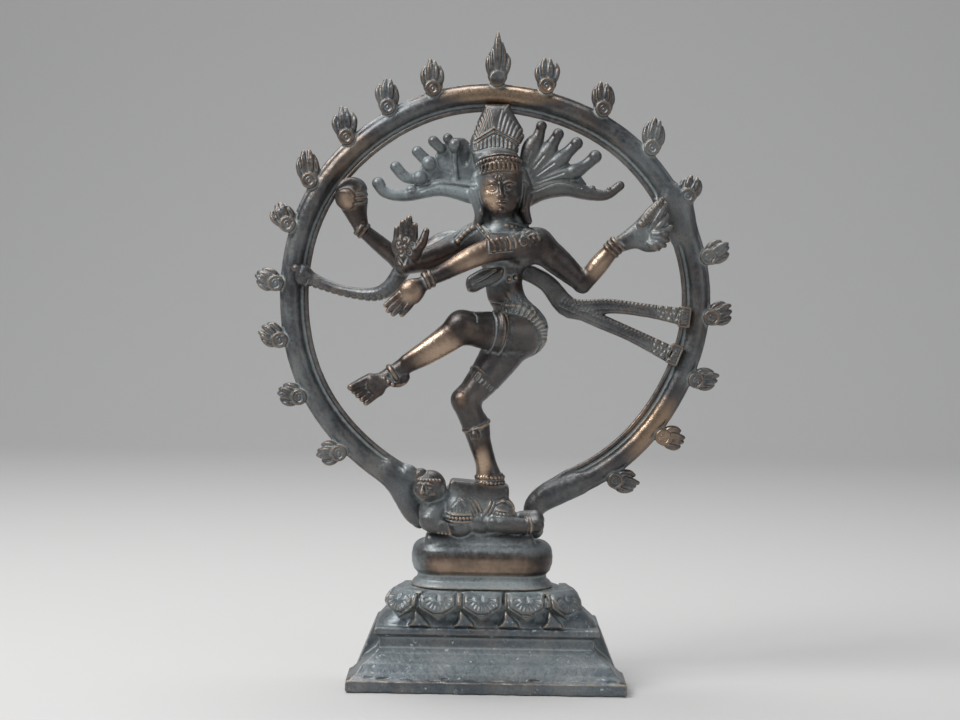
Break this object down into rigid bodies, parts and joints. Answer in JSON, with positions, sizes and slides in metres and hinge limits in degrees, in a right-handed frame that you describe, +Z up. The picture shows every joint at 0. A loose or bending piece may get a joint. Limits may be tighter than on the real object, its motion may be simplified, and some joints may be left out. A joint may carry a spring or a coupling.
{
  "type": "nataraja statue",
  "caption": "Cast brass figure of a four-armed dancer standing on a dwarf inside a ring of flames, on a moulded lotus pedestal.",
  "frame": {"origin": "under the middle of the object's box, on the face it stands on", "axes": "+X towards the viewer's right, +Y away from the viewer who faces the dancer, +Z up"},
  "size_m": [0.162, 0.044, 0.22],
  "materials": {
    "figure_brass": "dark brown-grey patina, satin, pale grey-green in the hollows",
    "rubbed_brass": "patina rubbed back to warm brown brass, satin",
    "ring_brass": "dark grey-brown patina with brown rubbed edges, satin",
    "pedestal_brass": "dark blue-grey patina with pale specks, satin"
  },
  "bodies": {
    "root": {"bangles": "figure_brass", "blessing_forearm": "figure_brass", "blessing_hand": "figure_brass", "blessing_upper_arm": "figure_brass", "crown": "figure_brass", "cushion": "rubbed_brass", "drum": "figure_brass", "drum_forearm": "figure_brass", "drum_hand": "figure_brass", "drum_upper_arm": "figure_brass", "dwarf_arm": "figure_brass", "dwarf_body": "figure_brass", "dwarf_head": "figure_brass", "dwarf_legs": "figure_brass", "flame_forearm": "rubbed_brass", "flame_hand": "figure_brass", "flame_ring": "ring_brass", "flame_upper_arm": "figure_brass", "hand_flame": "ring_brass", "head": "figure_brass", "hips": "figure_brass", "left_flame_1": "ring_brass", "left_flame_2": "ring_brass", "left_flame_3": "ring_brass", "left_flame_4": "ring_brass", "left_flame_5": "ring_brass", "left_flame_6": "ring_brass", "left_flame_7": "ring_brass", "left_flame_8": "ring_brass", "left_flame_9": "ring_brass", "left_foot": "rubbed_brass", "left_hair_fan": "figure_brass", "left_shin": "rubbed_brass", "left_thigh": "figure_brass", "lotus_petals": "pedestal_brass", "lotus_tier": "pedestal_brass", "necklace": "figure_brass", "plinth": "pedestal_brass", "right_flame_1": "ring_brass", "right_flame_2": "ring_brass", "right_flame_3": "ring_brass", "right_flame_4": "ring_brass", "right_flame_5": "ring_brass", "right_flame_6": "ring_brass", "right_flame_7": "ring_brass", "right_flame_8": "ring_brass", "right_flame_9": "ring_brass", "right_foot": "figure_brass", "right_hair_fan": "figure_brass", "right_shin": "rubbed_brass", "right_thigh": "figure_brass", "ring_feet": "ring_brass", "sash": "ring_brass", "scarf_end": "figure_brass", "serpent": "ring_brass", "sweeping_forearm": "rubbed_brass", "sweeping_hand": "rubbed_brass", "sweeping_upper_arm": "figure_brass", "top_flame": "ring_brass", "torso": "figure_brass"}
  },
  "joints": []
}
